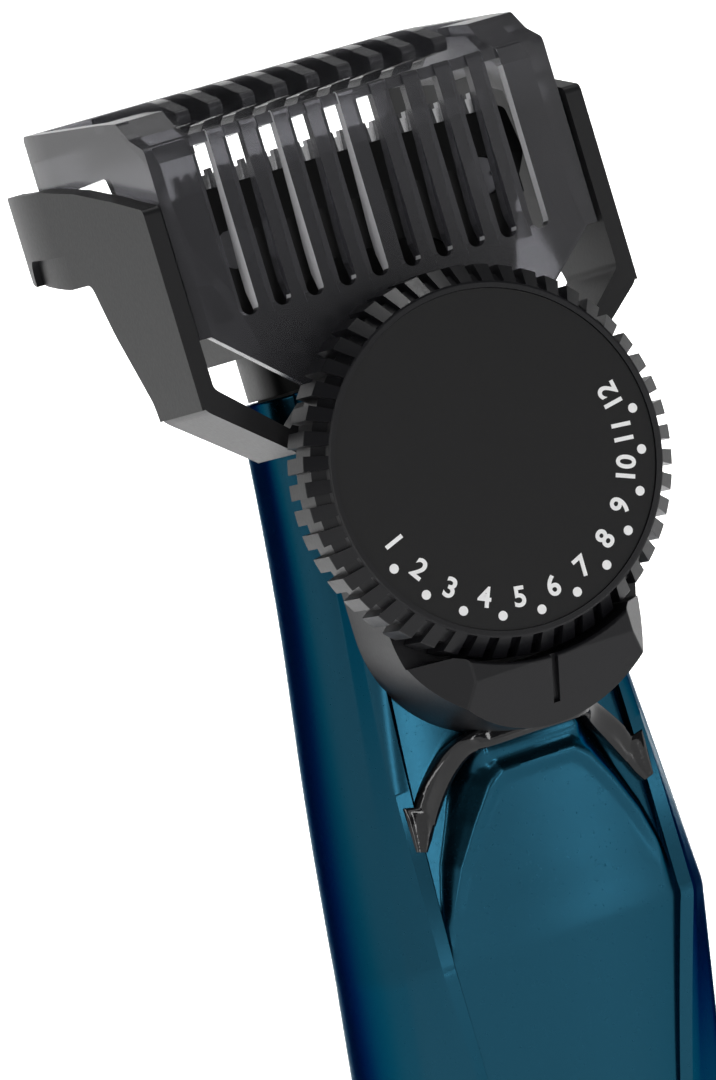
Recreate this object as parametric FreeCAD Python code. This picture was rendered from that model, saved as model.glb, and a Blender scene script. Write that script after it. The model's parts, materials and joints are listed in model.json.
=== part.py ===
# Beard trimmer with a turning length dial, a sliding comb yoke and a clip-on guide comb.
# Millimetres. The trimmer stands on its flat base: origin at the centre of the base, +Z up the
# handle, +X to the user's right when the dial faces them, -Y out of the dial's side.
# The head leans back by HEAD_LEAN. Its pieces are drawn upright in the head's own frame, which
# has its origin at the centre of the dial's face, and are then placed on the handle.
import FreeCAD
import Part

import math
import os

V = FreeCAD.Vector

# ---- driving dimensions -----------------------------------------------------------------------

# Frames
HEAD_LEAN = 20.0                    # degrees that the head leans back from the handle
HEAD_AT = V(0.0, -13.6, 140.6)      # centre of the dial's face on the standing handle

# Handle stations: half width, half depth, centre y, and how far in from the side the seam runs
TONGUE_TOP = 22.6                   # head frame: top of the front shell's round tongue
NECK_TOP = 11.4                     # head frame: where the blue shells end under the head block
NECK = dict(a=12.4, b=10.8, yc=25.7, seam=2.9)
WAIST = dict(a=14.1, b=12.2, yc=27.3, seam=3.0)
WAIST_Z = -10.0
SHOULDER = dict(a=16.0, b=13.4, yc=29.3, seam=3.5)
SHOULDER_Z = -27.0
HIP = dict(a=17.8, b=14.5, yc=31.4, seam=4.5)
HIP_Z = -47.0
GRIP_STATIONS = ((63.0, dict(a=17.3, b=13.9, yc=1.0, seam=7.2)),
                 (36.0, dict(a=16.5, b=13.4, yc=0.6, seam=7.9)),
                 (9.2, dict(a=15.8, b=13.0, yc=0.0, seam=8.2)))
BASE_CAP_TOP = 9.0
BASE_CAP = dict(a=15.75, b=12.95, yc=0.0, seam=8.2)
BASE_FOOT = dict(a=15.2, b=12.4, yc=0.0, seam=8.2)
WALL = 1.9                          # shell wall
SEAM_DROP = 1.8                     # the seam lies this far behind the front of a section
CORNER_IN = 2.4                     # the front corner lies this far in from the side
CORNER_DROP = 4.7                   # and this far behind the front

# Comb travel along the head's own up direction
COMB_DOWN = 4.5
COMB_UP = 6.5

# Dial
DIAL_R = 19.0
DIAL_FACE_R = 17.0
DIAL_BEVEL = 2.1
DIAL_DEPTH = 6.6
DIAL_TEETH = 48
DIAL_GROOVE = 1.0
DIAL_GROOVE_DEPTH = 0.9
SETTING_STEP = 15.5                 # degrees of dial per millimetre of comb
DETENT_STEP = SETTING_STEP / 2
DIAL_LOW = -COMB_DOWN * SETTING_STEP  # the dial's stops, from the setting it rests at
DIAL_HIGH = COMB_UP * SETTING_STEP
SPINDLE_R = 3.0
RUNNING = 0.05                      # radial clearance of a running fit

# Rack and pinion
PINION_TEETH = 12
PINION_PITCH_R = 180.0 / (SETTING_STEP * math.pi)
PRESSURE = math.radians(25.0)
PINION_ADDENDUM = 0.49
RACK_ADDENDUM = 0.50
RACK_DEDENDUM = 0.62
FLANK_PLAY = 0.07
GEAR_Y = (11.4, 13.1)

# Cradle behind and below the dial
CRADLE_R = 13.2
CRADLE_Z = -13.0
CRADLE_TOP = 11.0
CRADLE_Y = (7.0, 9.8)
CRADLE_BACK = 16.4
CRADLE_WALL = 1.4

# Yoke
YOKE_X = 23.7
YOKE_WALL = 1.75
YOKE_FRONT = 10.05
YOKE_BACK = 55.5
BOW_FROM = 39.0                     # behind here both arms bow inward
BOW_R = 64.0

# Guide comb
COMB_X = 21.6
COMB_WALL = 1.5
COMB_FRONT = 10.7
COMB_PANEL = 1.3
COMB_BACK = 46.0
COMB_BARS = 9
COMB_PITCH = 3.51
COMB_BAR = 1.75
SLOT_FOOT = 20.0
SLOT_HEAD = 37.2
STRIP_TOP = 38.3
TINE_UNDER = 39.6
TINE_HEEL = 38.2                    # the tines hang lower behind the blades

# Cutting head
HEAD_X = 18.3
HEAD_Y = (15.5, 34.0)
HEAD_TOP = 32.9
HEAD_FLARE = 16.2                   # the head widens above here
BLADE_TOP = 34.9
BLADE_TOOTH = 1.2
BLADE_STROKE = 0.75                 # each way from the middle

# Drive
MOTOR_R = 7.5
MOTOR_Y = 27.0
MOTOR_Z = (-26.0, -1.0)
ECCENTRIC = BLADE_STROKE            # throw of the drive pin
DRIVE_PIN_R = 0.8
FORK_SLOT = 4.8

# Inside the grip
BATTERY_R = 7.0
BATTERY_Y = 3.6
BATTERY_Z = (14.0, 64.0)
BOARD_Y = (-6.4, -5.4)
BUTTON_Z = 46.0
BUTTON_R = 5.0
BUTTON_TRAVEL = 0.8
LIGHT_Z = 57.0
SCREW_X = 6.0
SCREW_Z = 73.5
SCREW_SEAT = 10.2
SOCKET_Y = 6.4
SOCKET_R = 2.75
SOCKET_DEPTH = 7.0

HEAD_PLACE = FreeCAD.Placement(HEAD_AT, FreeCAD.Rotation(V(1, 0, 0), -HEAD_LEAN))


# ---- helpers ----------------------------------------------------------------------------------

def block(x, y, z):
    """Box between the two values of each pair."""
    return Part.makeBox(x[1] - x[0], y[1] - y[0], z[1] - z[0], V(x[0], y[0], z[0]))


def rod_y(radius, y, x=0.0, z=0.0):
    """Round bar along Y."""
    return Part.makeCylinder(radius, y[1] - y[0], V(x, y[0], z), V(0, 1, 0))


def rod_z(radius, z, x=0.0, y=0.0):
    """Round bar along Z."""
    return Part.makeCylinder(radius, z[1] - z[0], V(x, y, z[0]), V(0, 0, 1))


def fuse(shapes):
    """One shape from a list of touching ones."""
    shapes = list(shapes)
    return shapes[0].fuse(shapes[1:]).removeSplitter() if len(shapes) > 1 else shapes[0]


def both_sides(shape):
    """The shape and its mirror image across the middle plane."""
    return [shape, shape.mirror(V(0, 0, 0), V(1, 0, 0))]


def outline(points, place):
    """Closed wire through corners (u, v) or (u, v, radius), put in space by place(u, v)."""
    corners = [(V(p[0], p[1], 0), p[2] if len(p) > 2 else 0.0) for p in points]
    stretches = []
    for i, (here, radius) in enumerate(corners):
        if radius == 0.0:
            stretches.append((here, None, here))
            continue
        back = (corners[i - 1][0] - here).normalize()
        ahead = (corners[(i + 1) % len(corners)][0] - here).normalize()
        half = back.getAngle(ahead) / 2
        reach = radius / math.tan(half)
        middle = here + (back + ahead).normalize() * (radius / math.sin(half) - radius)
        stretches.append((here + back * reach, middle, here + ahead * reach))
    edges = []
    for i, (start, middle, end) in enumerate(stretches):
        if middle is not None:
            edges.append(Part.Arc(place(*start[:2]), place(*middle[:2]), place(*end[:2])).toShape())
        following = stretches[(i + 1) % len(stretches)][0]
        if end.distanceToPoint(following) > 1e-6:
            edges.append(Part.makeLine(place(*end[:2]), place(*following[:2])))
    return Part.Wire(edges)


def slab_x(points, x):
    """Plate from a (y, z) outline, between two x."""
    face = Part.Face(outline(points, lambda u, v: V(x[0], u, v)))
    return face.extrude(V(x[1] - x[0], 0, 0))


def slab_y(points, y):
    """Plate from an (x, z) outline, between two y."""
    face = Part.Face(outline(points, lambda u, v: V(u, y[0], v)))
    return face.extrude(V(0, y[1] - y[0], 0))


def slab_z(points, z):
    """Plate from an (x, y) outline, between two z."""
    face = Part.Face(outline(points, lambda u, v: V(u, v, z[0])))
    return face.extrude(V(0, 0, z[1] - z[0]))


def ring_y(outer, inner, y):
    """Flat ring round the Y axis."""
    return rod_y(outer, y).cut(rod_y(inner, (y[0] - 1, y[1] + 1)))


def turned_y(profile):
    """Solid turned about the Y axis from an (r, y) outline."""
    face = Part.Face(outline(profile, lambda r, y: V(r, y, 0)))
    return face.revolve(V(0, 0, 0), V(0, 1, 0), 360)


def turn_y(shape, degrees):
    """Copy turned about the dial's axis, from -Z towards -X when positive."""
    copy = shape.copy()
    copy.rotate(V(0, 0, 0), V(0, 1, 0), degrees)
    return copy


def softened(shape, radius, chosen):
    """Fillet the edges whose centre passes the test; keep the shape if it can't be done."""
    edges = [e for e in shape.Edges if chosen(e.BoundBox.Center, e)]
    return shape.makeFillet(radius, edges) if edges else shape


def on_head(shape):
    """Place a shape drawn in the head's frame on the handle."""
    copy = shape.copy()
    copy.Placement = HEAD_PLACE.multiply(copy.Placement)
    return copy


# ---- handle sections --------------------------------------------------------------------------

def section_points(s):
    """Named points of one handle section, right-hand side, in the section's own plane."""
    front = s["yc"] - s["b"]
    return dict(front=V(0, front, 0),
                seam=V(s["a"] - s["seam"], front + SEAM_DROP, 0),
                corner=V(s["a"] - CORNER_IN, front + CORNER_DROP, 0))


def side_curve(s, start, inset=0.0):
    """Curve from the front corner round the side to the middle of the back, right-hand side."""
    points = [start]
    for degrees in (-25.0, 0.0, 25.0, 50.0, 70.0):
        angle = math.radians(degrees)
        x = (s["a"] - inset) * math.cos(angle) ** 0.72
        y = s["yc"] + (s["b"] - inset) * math.copysign(abs(math.sin(angle)) ** 0.86, angle)
        points.append(V(x, y, 0))
    points.append(V(0, s["yc"] + s["b"] - inset, 0))
    curve = Part.BSplineCurve()
    first = (points[1] - points[0]).normalize()
    curve.interpolate(Points=points, InitialTangent=first, FinalTangent=V(-1, 0, 0))
    return curve.toShape()


def flip(edge):
    """Mirror image of an edge across the middle plane."""
    return edge.mirror(V(0, 0, 0), V(1, 0, 0))


def placed_wire(edges, place):
    """Closed wire from the section's edges, moved into its plane."""
    wire = Part.Wire(Part.__sortEdges__(edges))
    wire.Placement = place
    return wire


def whole_wire(s, place):
    """Whole outer section, front arc included."""
    p = section_points(s)
    left = V(-p["seam"].x, p["seam"].y, 0)
    arc = Part.Arc(left, p["front"], p["seam"]).toShape()
    strip = Part.makeLine(p["seam"], p["corner"])
    side = side_curve(s, p["corner"])
    return placed_wire([arc, strip, side, flip(side), flip(strip)], place)


def tub_wire(s, place):
    """Section of the rear shell: straight across the seam, then round the back."""
    p = section_points(s)
    left = V(-p["seam"].x, p["seam"].y, 0)
    strip = Part.makeLine(p["seam"], p["corner"])
    side = side_curve(s, p["corner"])
    return placed_wire([Part.makeLine(left, p["seam"]), strip, side, flip(side), flip(strip)], place)


def cover_wire(s, place):
    """Section of the front shell: a shallow arched cover in front of the seam."""
    p = section_points(s)
    gap = 0.35
    right = V(p["seam"].x - gap, p["seam"].y - 0.05, 0)
    left = V(-right.x, right.y, 0)
    arc = Part.Arc(left, p["front"], right).toShape()
    return placed_wire([arc, Part.makeLine(right, left)], place)


def hollow_wire(s, place):
    """Section of the space inside the rear shell, open towards the cover."""
    front = s["yc"] - s["b"] + SEAM_DROP - 0.6
    half = s["a"] - s["seam"] - 1.2
    start = V(s["a"] - WALL - 2.4, front + 6.0, 0)
    lead = Part.makeLine(V(half, front, 0), start)
    side = side_curve(s, start, WALL)
    across = Part.makeLine(V(-half, front, 0), V(half, front, 0))
    return placed_wire([across, lead, side, flip(side), flip(lead)], place)


def in_head(z):
    """Plane across the head's frame at height z."""
    return HEAD_PLACE.multiply(FreeCAD.Placement(V(0, 0, z), FreeCAD.Rotation()))


def in_grip(z):
    """Level plane across the grip at height z."""
    return FreeCAD.Placement(V(0, 0, z), FreeCAD.Rotation())


def handle_solid(wire):
    """Neck and grip of the handle from one kind of section; the crease at the hip stays sharp."""
    upper = [wire(s, in_head(z)) for z, s in ((HIP_Z, HIP), (SHOULDER_Z, SHOULDER),
                                              (WAIST_Z, WAIST), (NECK_TOP, NECK))]
    lower = [wire(s, in_grip(z)) for z, s in reversed(GRIP_STATIONS)] + [wire(HIP, in_head(HIP_Z))]
    return Part.makeLoft(lower, True).fuse(Part.makeLoft(upper, True))


# ---- handle shells ----------------------------------------------------------------------------

def cradle_seat():
    """Room in the shells for the cradle's walls and the foot of its index block."""
    y = (5.0, CRADLE_BACK + 0.05)
    ring = slab_y(cradle_outline(0.05), y).cut(slab_y(cradle_outline(-CRADLE_WALL - 0.05), y))
    return on_head(ring.cut(block((-20.0, 20.0), (0.0, 20.0), (-2.9, 20.0))))


def thumb_panel():
    """Raised thumb rest under the dial: a wedge that fades into the front shell at the hip."""
    high = [(-11.4, 17.6), (-9.2, 14.2), (-6.2, 11.3), (6.2, 11.3), (9.2, 14.2), (11.4, 17.6)]
    low = [(-12.0, 18.6), (-11.2, 18.2), (-8.0, 17.4), (8.0, 17.4), (11.2, 18.2), (12.0, 18.6)]
    wires = []
    for z, points in ((-27.0, high), (-46.5, low)):
        wires.append(outline(points, lambda u, v, z=z: V(u, v, z)))
    return on_head(Part.makeLoft(wires, True, True))


def tongue():
    """Round-topped tongue of the front shell that stands up behind the dial."""
    front = NECK["yc"] - NECK["b"]
    half = NECK["a"] - NECK["seam"] - 0.4
    points = [(-half, NECK_TOP - 0.5), (half, NECK_TOP - 0.5), (half, TONGUE_TOP, 6.0),
              (-half, TONGUE_TOP, 6.0)]
    return on_head(slab_y(points, (front + 0.4, front + 1.6)))


def trim_shape():
    """Glossy arch over the thumb rest, with a leg down each side."""
    path = ((14.2, 16.9, -34.8, 1.3), (12.8, 16.2, -31.0, 1.7), (10.2, 14.4, -27.8, 1.7),
            (7.4, 12.6, -26.0, 1.3), (0.0, 12.0, -25.4, 1.1))
    stations = [(-x, y, z, w) for x, y, z, w in path[:-1]] + list(reversed(path))
    wires = []
    for i, (x, y, z, half) in enumerate(stations):
        before = stations[max(i - 1, 0)]
        after = stations[min(i + 1, len(stations) - 1)]
        along = V(after[0] - before[0], 0, after[2] - before[2]).normalize()
        across = V(-along.z, 0, along.x) * half
        deep = V(0, 2.6, 0)
        corner = V(x, y - 1.5, z)
        ring = [corner + across, corner - across, corner - across + deep, corner + across + deep]
        wires.append(Part.makePolygon(ring + ring[:1]))
    return on_head(Part.makeLoft(wires, True, True))


def button_space():
    """Round shaft through the front shell for the power button."""
    return rod_y(BUTTON_R + 0.3, (-20.0, -6.0), 0.0, BUTTON_Z)


def front_housing():
    """Front shell: arched cover, thumb rest and tongue."""
    shell = handle_solid(cover_wire).fuse([thumb_panel(), tongue()]).removeSplitter()
    spaces = [button_space(), rod_y(1.25, (-20.0, -6.0), 0.0, LIGHT_Z), trim_shape(),
              cradle_seat(), on_head(block((-11.0, 11.0), (14.0, 14.65), (-12.1, -6.9)))]
    return shell.cut(spaces)


def rear_housing():
    """Rear shell: deep tub with the bright shoulders on each side of the seam."""
    shell = handle_solid(tub_wire).cut(handle_solid(hollow_wire))
    floor = block((-11.0, 11.0), (-9.0, 9.0), (9.2, 11.2))
    spaces = [rod_y(2.6, (8.0, 30.0), x, z) for x, z in screw_places()]
    spaces += [handle_solid(cover_wire), trim_shape(), cradle_seat(),
               rod_z(4.6, (8.0, 12.0), 0.0, SOCKET_Y), rod_z(1.0, (8.0, 12.0), 0.0, -5.0)]
    return largest(shell.fuse(floor).cut(spaces))


def largest(shape):
    """The biggest solid of a shape."""
    return max(shape.Solids, key=lambda solid: solid.Volume)


def screw_places():
    """Places (x, z) of the two screws that close the rear shell."""
    return ((-SCREW_X, SCREW_Z), (SCREW_X, SCREW_Z))


def chassis():
    """Inner frame between the battery and the circuit board."""
    points = [(-9.5, 12.5), (9.5, 12.5), (9.5, 78.5, 2.0), (-9.5, 78.5, 2.0)]
    plate = slab_y(points, (-5.2, -4.0))
    stops = [block((-6.0, 6.0), (-4.0, 4.0), (66.5, 68.0))]
    stops += [block((x, x + 1.2), (-4.0, 1.0), (13.0, 65.0)) for x in (-9.5, 8.3)]
    bosses = [rod_y(2.4, (-5.2, SCREW_SEAT), x, z) for x, z in screw_places()]
    drills = [rod_y(0.8, (2.0, 14.0), x, z) for x, z in screw_places()]
    return fuse([plate] + stops + bosses).cut(drills)


def trim_band():
    """Glossy trim, a separate moulding let into both shells."""
    return trim_shape().cut(on_head(slab_y(cradle_outline(0.05), (5.0, CRADLE_BACK + 0.05))))


def base_cap():
    """Black cap that closes the grip and carries the charging socket."""
    wires = [whole_wire(s, in_grip(z)) for z, s in ((0.0, BASE_FOOT), (1.2, BASE_CAP),
                                                    (BASE_CAP_TOP, BASE_CAP))]
    cap = Part.makeLoft(wires, True, True)
    spaces = [rod_z(3.95, (1.5, 10.0), 0.0, SOCKET_Y), rod_z(SOCKET_R + 0.3, (-1.0, 3.0), 0.0, SOCKET_Y),
              rod_z(1.0, (-1.0, 10.0), 0.0, -5.0), rod_z(2.1, (-1.0, 2.6), 0.0, -5.0)]
    return cap.cut(spaces)


def base_screw():
    """Screw that holds the cap, sunk into the bottom."""
    head = rod_z(2.0, (0.5, 2.5), 0.0, -5.0)
    shank = rod_z(0.95, (2.5, 11.0), 0.0, -5.0)
    cross = fuse([block((-1.2, 1.2), (-5.2, -4.8), (0.0, 1.3)),
                  block((-0.2, 0.2), (-6.2, -3.8), (0.0, 1.3))])
    return head.fuse(shank).cut(cross)


def housing_screws():
    """Two equal screws in the back of the rear shell."""
    screws = []
    seat = SCREW_SEAT + 0.05
    for x, z in screw_places():
        head = rod_y(2.3, (seat, seat + 1.7), x, z)
        shank = rod_y(0.75, (seat - 5.0, seat), x, z)
        slots = [block((x - 1.4, x + 1.4), (seat + 1.0, seat + 2.0), (z - 0.25, z + 0.25)),
                 block((x - 0.25, x + 0.25), (seat + 1.0, seat + 2.0), (z - 1.4, z + 1.4))]
        screws.append(head.fuse(shank).cut(slots))
    return Part.makeCompound(screws)


# ---- charging and electrics -------------------------------------------------------------------

def socket_body():
    """Round charging socket, open at the bottom and closed above."""
    body = rod_z(3.9, (1.6, 13.0), 0.0, SOCKET_Y)
    throat = rod_z(SOCKET_R, (-1.0, SOCKET_DEPTH), 0.0, SOCKET_Y)
    well = rod_z(1.0, (6.5, 11.0), 0.0, SOCKET_Y)
    return body.cut([throat, well])


def socket_contact():
    """Centre contact, set flush in the socket's closed end."""
    return rod_z(0.95, (SOCKET_DEPTH + 0.2, 11.0), 0.0, SOCKET_Y)


def battery_cell():
    """Round cell along the grip."""
    can = rod_z(BATTERY_R, BATTERY_Z, 0.0, BATTERY_Y)
    can = can.makeFillet(0.8, [e for e in can.Edges if e.Curve.TypeId == "Part::GeomCircle"])
    return can.fuse(rod_z(2.4, (BATTERY_Z[1], BATTERY_Z[1] + 0.9), 0.0, BATTERY_Y))


def battery_tabs():
    """Welded strips at both ends of the cell, bent towards the board."""
    tabs = []
    for z in (BATTERY_Z[0] - 0.5, BATTERY_Z[1] + 0.9):
        tabs.append(block((-2.0, 2.0), (-3.8, BATTERY_Y + 2.0), (z, z + 0.4)))
    return Part.makeCompound(tabs)


def circuit_board():
    """Board in front of the chassis, with its chips."""
    points = [(-8.5, 16.0, 1.0), (8.5, 16.0, 1.0), (8.5, 70.0, 1.0), (-8.5, 70.0, 1.0)]
    board = slab_y(points, BOARD_Y)
    chips = [block((-3.0, 3.0), (BOARD_Y[0] - 1.2, BOARD_Y[0]), (28.0, 34.0)),
             block((-6.5, -3.5), (BOARD_Y[0] - 1.8, BOARD_Y[0]), (20.0, 24.0)),
             rod_y(2.0, (BOARD_Y[0] - 2.6, BOARD_Y[0]), 4.5, 22.0)]
    return fuse([board] + chips)


def tact_switch():
    """Small push switch on the board behind the power button."""
    body = block((-3.0, 3.0), (BOARD_Y[0] - 1.6, BOARD_Y[0]), (BUTTON_Z - 3.0, BUTTON_Z + 3.0))
    return body.fuse(rod_y(1.6, (BOARD_Y[0] - 2.1, BOARD_Y[0] - 1.6), 0.0, BUTTON_Z))


def button_front():
    """Y of the front shell's skin at the button."""
    lower, upper = GRIP_STATIONS[1], GRIP_STATIONS[0]
    share = (BUTTON_Z - lower[0]) / (upper[0] - lower[0])
    front = [s["yc"] - s["b"] for s in (lower[1], upper[1])]
    return front[0] + share * (front[1] - front[0])


def power_button():
    """Round push button with a stem that reaches the switch."""
    front = button_front()
    cap = rod_y(BUTTON_R, (front - 0.5, front + 1.9), 0.0, BUTTON_Z)
    cap = softened(cap, 0.6, lambda c, e: c.y < front)
    stem = rod_y(1.5, (front + 1.9, BOARD_Y[0] - 2.1 - BUTTON_TRAVEL - 0.2), 0.0, BUTTON_Z)
    return cap.fuse(stem)


def button_seal():
    """Soft ring under the button that keeps water out."""
    front = button_front()
    ring = ring_y(BUTTON_R + 1.6, 2.2, (front + 2.9, front + 3.5))
    ring.translate(V(0, 0, BUTTON_Z))
    return ring


def led_light_pipe():
    """Clear rod that carries the charge light to the front."""
    return rod_y(1.2, (-12.8, BOARD_Y[0]), 0.0, LIGHT_Z)


# ---- dial -------------------------------------------------------------------------------------

def dial_knob():
    """Toothed knob: raised ring, bevel and side, hollow behind."""
    profile = [(3.5, 0.9), (DIAL_FACE_R - 0.5, 0.9), (DIAL_FACE_R - 0.5, 0.0),
               (DIAL_R - 1.9, 0.0, 0.3), (DIAL_R, DIAL_BEVEL, 0.3), (DIAL_R, DIAL_DEPTH),
               (DIAL_R - 2.0, DIAL_DEPTH), (DIAL_R - 2.0, 3.1), (5.0, 3.1), (5.0, 5.6),
               (3.5, 5.6)]
    knob = turned_y(profile)
    foot = DIAL_R - DIAL_GROOVE_DEPTH
    groove = slab_x([(-0.5, DIAL_R - 1.85), (0.9, DIAL_R - 1.85), (2.6, foot),
                     (DIAL_DEPTH + 1.0, foot), (DIAL_DEPTH + 1.0, DIAL_R + 1.0),
                     (-0.5, DIAL_R + 1.0)], (-DIAL_GROOVE / 2, DIAL_GROOVE / 2))
    pitch = 360.0 / DIAL_TEETH
    grooves = [turn_y(groove, pitch * (tooth + 0.5)) for tooth in range(DIAL_TEETH)]
    return knob.cut(grooves)


def dial_face_disc():
    """Flat disc that carries the scale, set inside the knob's ring."""
    return rod_y(DIAL_FACE_R - 0.55, (0.2, 0.9))


def dial_spindle():
    """Stepped shaft from the knob through the cradle to the pinion."""
    steps = [rod_y(3.45, (0.95, 5.6)), rod_y(SPINDLE_R, (5.6, 11.0)), rod_y(1.8, (11.0, 13.1))]
    return fuse(steps).cut(rod_y(0.7, (9.0, 14.0)))


def pinion_outline():
    """Corners of the pinion's involute teeth, as (x, z) points."""
    base_r = PINION_PITCH_R * math.cos(PRESSURE)
    tip_r = PINION_PITCH_R + PINION_ADDENDUM
    root_r = PINION_PITCH_R - RACK_ADDENDUM - 0.12
    half = math.pi / (2 * PINION_TEETH) - FLANK_PLAY / (2 * PINION_PITCH_R)
    involute = math.tan(PRESSURE) - PRESSURE
    flank = []
    for step in range(6):
        radius = base_r + (tip_r - base_r) * step / 5
        turn = math.acos(min(1.0, base_r / radius))
        flank.append((radius, half + involute - (math.tan(turn) - turn)))
    flank = [(root_r, flank[0][1])] + flank
    points = []
    for tooth in range(PINION_TEETH):
        centre = math.pi + 2 * math.pi * tooth / PINION_TEETH
        for side, order in ((-1, flank), (1, flank[::-1])):
            for radius, away in order:
                angle = centre + side * away
                points.append((radius * math.cos(angle), radius * math.sin(angle)))
    return points


def drive_pinion():
    """Twelve-tooth pinion on the end of the spindle."""
    return slab_y(pinion_outline(), GEAR_Y).cut(rod_y(1.85, (10.0, 15.0)))


def dial_screw():
    """Screw behind the pinion that holds the dial group together."""
    head = rod_y(2.3, (13.2, 14.2))
    shank = rod_y(0.65, (9.2, 13.2))
    slot = block((-2.5, 2.5), (13.8, 14.6), (-0.25, 0.25))
    return head.fuse(shank).cut(slot)


def detent_spring():
    """Leaf with a round nose that clicks along the detent ring."""
    leaf = block((-1.4, 1.4), (3.2, 3.9), (5.6, 12.0))
    nose = rod_y(0.55, (3.2, 6.0), 0.0, 11.75)
    post = block((-1.4, 1.4), (3.2, 5.4), (5.1, 5.9))
    return fuse([leaf, nose, post])


def detent_ring():
    """Ring on the cradle with one notch for each half step of the dial."""
    ring = ring_y(14.2, 12.35, (4.6, CRADLE_Y[0]))
    first = math.ceil(DIAL_LOW / DETENT_STEP)
    last = math.floor(DIAL_HIGH / DETENT_STEP)
    notch = rod_y(0.55, (4.0, CRADLE_Y[0] + 0.5), 0.0, 12.0)
    notches = [turn_y(notch, step * DETENT_STEP) for step in range(first, last + 1)]
    return ring.cut(notches)


# ---- cradle and carriage ----------------------------------------------------------------------

def cradle_outline(grow=0.0):
    """Tongue outline of the cradle, as (x, z) corners with a round foot."""
    half = CRADLE_R + grow
    foot = CRADLE_Z - CRADLE_R - grow
    return [(-half, CRADLE_TOP), (-half, foot, half - 0.01), (half, foot, half - 0.01),
            (half, CRADLE_TOP)]


def index_block():
    """Block below the dial that carries the pointer groove."""
    side = [(0.5, -17.0), (0.5, -19.8, 0.6), (4.8, -26.6), (7.2, -26.6), (7.2, -17.0)]
    body = slab_x(side, (-CRADLE_R, CRADLE_R))
    body = body.common(slab_y(cradle_outline(), (0.0, 8.0)))
    flank = slab_z([(8.2, 0.0), (13.0, 7.2), (16.0, 7.2), (16.0, 0.0)], (-30.0, -10.0))
    groove = block((-0.35, 0.35), (-2.0, 2.0), (-25.3, -15.0))
    groove.rotate(V(0, 0.7, -19.6), V(1, 0, 0), 29.0)
    groove.translate(V(0, -0.9, 0))
    body = body.cut([rod_y(DIAL_R + 0.45, (-1.0, 7.1))] + both_sides(flank))
    return softened(body, 0.35, lambda c, e: c.y < 3.0 and abs(c.x) < 9.0 and c.z < -17.8).cut(groove)


def index_cradle():
    """Cradle: plate behind the dial, walls round the carriage, and the index block."""
    plate = slab_y(cradle_outline(), CRADLE_Y)
    walls = slab_y(cradle_outline(), (CRADLE_Y[0], CRADLE_BACK))
    inside = slab_y(cradle_outline(-CRADLE_WALL), (CRADLE_Y[1], CRADLE_BACK + 1.0))
    high = block((-20.0, 20.0), (CRADLE_Y[1], CRADLE_BACK + 1.0), (-3.0, 20.0))
    cradle = fuse([plate, walls.cut([inside, high]), index_block()])
    cradle = cradle.cut(rod_y(SPINDLE_R + RUNNING, (6.0, 11.0)))
    return softened(cradle, 1.0, lambda c, e: abs(c.y - CRADLE_Y[0]) < 0.01 and c.z > 0
                    and abs(c.x) < 1 and e.Length > 20)


def guide_rails():
    """Two rails on the front shell that lead the carriage up and down."""
    rail = fuse([block((9.6, 10.9), (11.3, 14.2), (-12.0, 7.2)),
                 block((7.6, 10.9), (13.3, 14.2), (-12.0, 7.2)),
                 block((7.6, 10.9), (14.2, 14.6), (-12.0, -7.0))])
    return fuse(both_sides(rail) + [block((-8.0, 8.0), (14.2, 14.6), (-12.0, -7.0))])


def rack_slider():
    """Carriage behind the cradle: a frame with the rack along its left edge."""
    frame = slab_y([(-9.5, -13.5, 1.0), (9.5, -13.5, 1.0), (9.5, 11.2, 1.0), (-9.5, 11.2, 1.0)],
                   (11.25, 13.2))
    root = PINION_PITCH_R + RACK_DEDENDUM
    window = block((-root, 4.9), (10.0, 15.0), (-11.4, 9.3))
    pitch = 2 * math.pi * PINION_PITCH_R / PINION_TEETH
    teeth = []
    for index in range(-6, 5):
        centre = (index + 0.5) * pitch
        foot = pitch / 4 - FLANK_PLAY / 2 + RACK_DEDENDUM * math.tan(PRESSURE)
        crest = pitch / 4 - FLANK_PLAY / 2 - RACK_ADDENDUM * math.tan(PRESSURE)
        tip = -PINION_PITCH_R + RACK_ADDENDUM
        teeth.append(slab_y([(-root - 0.2, centre - foot), (-root, centre - foot),
                             (tip, centre - crest), (tip, centre + crest),
                             (-root, centre + foot), (-root - 0.2, centre + foot)],
                            (11.25, 13.2)))
    return fuse([frame.cut(window)] + teeth)


# ---- yoke -------------------------------------------------------------------------------------

def bowed_wall(outer, thick, y, z):
    """Upright wall, straight and then bowed inward behind BOW_FROM; all bows share one centre."""
    centre_x = YOKE_X - BOW_R
    reach = math.asin((y[1] - BOW_FROM) / (outer - centre_x))
    rims = []
    for radius in (outer - centre_x, outer - thick - centre_x):
        rims.append([V(centre_x + radius * math.cos(t), BOW_FROM + radius * math.sin(t), z[0])
                     for t in (0.0, reach / 2, reach)])
    front = [V(outer, y[0], z[0]), V(outer - thick, y[0], z[0])]
    edges = [Part.makeLine(front[0], rims[0][0]), Part.Arc(*rims[0]).toShape(),
             Part.makeLine(rims[0][2], rims[1][2]), Part.Arc(*rims[1]).toShape(),
             Part.makeLine(rims[1][0], front[1]), Part.makeLine(front[1], front[0])]
    return Part.Face(Part.Wire(Part.__sortEdges__(edges))).extrude(V(0, 0, z[1] - z[0]))


def arm_profile():
    """Side view of a yoke arm, (y, z)."""
    return [(YOKE_FRONT, 10.0), (YOKE_FRONT, 32.5, 0.8), (18.4, 34.4, 8.0),
            (28.3, 36.4, 8.0), (39.2, 37.9, 8.0), (YOKE_BACK, 38.8, 0.8),
            (YOKE_BACK - 0.6, 29.5, 0.8), (40.0, 27.6, 6.0),
            (31.3, 27.4, 1.5), (28.6, 22.0, 12.0), (23.4, 14.4, 3.0), (22.6, 10.0)]


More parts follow.
